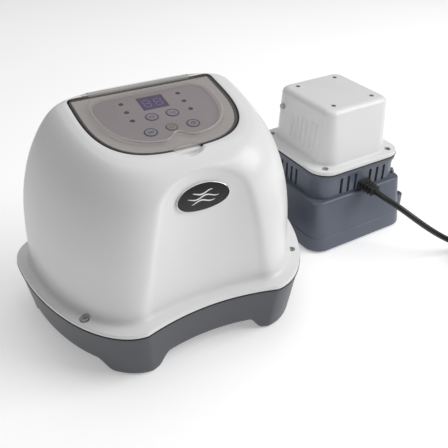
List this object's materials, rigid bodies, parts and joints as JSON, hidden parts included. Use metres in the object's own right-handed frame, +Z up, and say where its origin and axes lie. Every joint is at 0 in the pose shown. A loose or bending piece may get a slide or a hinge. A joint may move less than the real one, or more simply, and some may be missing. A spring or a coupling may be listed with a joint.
{
  "type": "salt chlorine generator",
  "caption": "Pool salt chlorine generator: domed white control unit with hinged smoked lid over a button panel, on a grey footed base, beside a vented power unit with a mains cord.",
  "frame": {"origin": "on the floor, under the middle of the box round both units without the cord", "axes": "+Z up, -Y towards the front of the control unit, +X from the control unit towards the power unit"},
  "size_m": [0.6446, 0.4088, 0.2588],
  "materials": {
    "white_housing": "satin moulded",
    "grey_base": "satin moulded",
    "slate_base": "satin moulded",
    "black_rubber": "matt",
    "steel_screw": "plated",
    "smoked_lid": "clear smoked",
    "taupe_fascia": "fine texture",
    "display_glass": "gloss",
    "led_lens": "gloss",
    "button_key": "satin",
    "button_power_key": "satin",
    "circuit_board": "solder mask",
    "black_component": "satin",
    "badge_black": "high gloss",
    "badge_silver": "bright",
    "grey_pipe": "satin moulded",
    "titanium_plate": "fine mesh coating",
    "aluminium_sink": "extruded",
    "zinc_bracket": "zinc plated",
    "reset_key": "satin",
    "core_iron": "laminated",
    "copper_winding": "enamelled",
    "cord_sheath": "satin",
    "plug_metal": "bright"
  },
  "bodies": {
    "control_unit": {"upper_housing": "white_housing", "base_housing": "grey_base", "housing_gasket": "black_rubber", "housing_screws": "steel_screw", "rubber_feet": "black_rubber", "lid_hinge_pins": "steel_screw", "lid_seal": "black_rubber", "control_panel": "taupe_fascia", "display_window": "display_glass", "display_module": "black_component", "led_indicators": "led_lens", "tact_switches": "black_component", "control_board": "circuit_board", "board_screws": "steel_screw", "front_badge": "badge_black", "badge_rim": "badge_silver", "cell_housing": "grey_pipe", "cell_plates": "titanium_plate", "cell_end_cap": "grey_pipe", "cell_terminals": "titanium_plate", "cell_o_ring": "black_rubber", "flow_sensor": "black_component", "driver_board": "circuit_board", "heat_sink": "aluminium_sink", "board_bracket": "zinc_bracket", "low_voltage_inlet": "black_component"},
    "lid": {"control_lid": "smoked_lid"},
    "inlet_nut": {"inlet_nut": "grey_pipe"},
    "outlet_nut": {"outlet_nut": "grey_pipe"},
    "power_unit": {"power_base": "slate_base", "vented_housing": "slate_base", "power_gasket": "black_rubber", "power_cap": "white_housing", "power_flange_screws": "steel_screw", "power_cap_screws": "steel_screw", "power_base_screws": "steel_screw", "power_feet": "black_rubber", "thermal_breaker": "black_component", "transformer_core": "core_iron", "transformer_windings": "copper_winding", "transformer_bracket": "zinc_bracket", "rectifier_board": "circuit_board", "smoothing_capacitors": "black_component", "board_rails": "zinc_bracket", "low_voltage_outlet": "black_component", "strain_relief": "black_rubber", "mains_cord": "cord_sheath", "mains_cord_tail": "cord_sheath", "mains_cord_coil": "cord_sheath", "mains_plug": "cord_sheath", "plug_pins": "plug_metal"},
    "reset_button": {"reset_button": "reset_key"},
    "button_upper_left": {"button_upper_left": "button_key"},
    "button_upper_right": {"button_upper_right": "button_key"},
    "button_lower_left": {"button_lower_left": "button_key"},
    "button_lower_right": {"button_lower_right": "button_key"},
    "button_power": {"button_power": "button_power_key"}
  },
  "joints": [
    {"name": "lid_hinge", "type": "hinge", "parent": "control_unit", "child": "lid", "pos_m": [-0.1032, 0.04267, 0.25578], "axis": [-1, 0, 0], "range_deg": [0, 100]},
    {"name": "button_upper_left_press", "type": "slide", "parent": "control_unit", "child": "button_upper_left", "axis": [0, 0.1547, -0.988], "range_m": [0, 0.001], "stiffness_N_per_m": 900, "springref_m": -0.0004},
    {"name": "button_upper_right_press", "type": "slide", "parent": "control_unit", "child": "button_upper_right", "axis": [0, 0.1547, -0.988], "range_m": [0, 0.001], "stiffness_N_per_m": 900, "springref_m": -0.0004},
    {"name": "button_lower_left_press", "type": "slide", "parent": "control_unit", "child": "button_lower_left", "axis": [0, 0.1547, -0.988], "range_m": [0, 0.001], "stiffness_N_per_m": 900, "springref_m": -0.0004},
    {"name": "button_lower_right_press", "type": "slide", "parent": "control_unit", "child": "button_lower_right", "axis": [0, 0.1547, -0.988], "range_m": [0, 0.001], "stiffness_N_per_m": 900, "springref_m": -0.0004},
    {"name": "button_power_press", "type": "slide", "parent": "control_unit", "child": "button_power", "axis": [0, 0.1547, -0.988], "range_m": [0, 0.001], "stiffness_N_per_m": 900, "springref_m": -0.0004},
    {"name": "inlet_nut_spin", "type": "hinge", "parent": "control_unit", "child": "inlet_nut", "pos_m": [-0.1612, 0.10752, 0.044], "axis": [0, 1, 0], "continuous": true},
    {"name": "outlet_nut_spin", "type": "hinge", "parent": "control_unit", "child": "outlet_nut", "pos_m": [-0.0452, 0.10752, 0.044], "axis": [0, 1, 0], "continuous": true},
    {"name": "power_unit_place", "type": "slide", "parent": "control_unit", "child": "power_unit", "axis": [1, 0, 0], "range_m": [0, 0.12]},
    {"name": "reset_button_press", "type": "slide", "parent": "power_unit", "child": "reset_button", "axis": [0.9986, 0.0523, 0], "range_m": [0, 0.002], "stiffness_N_per_m": 700, "springref_m": -0.0006}
  ]
}
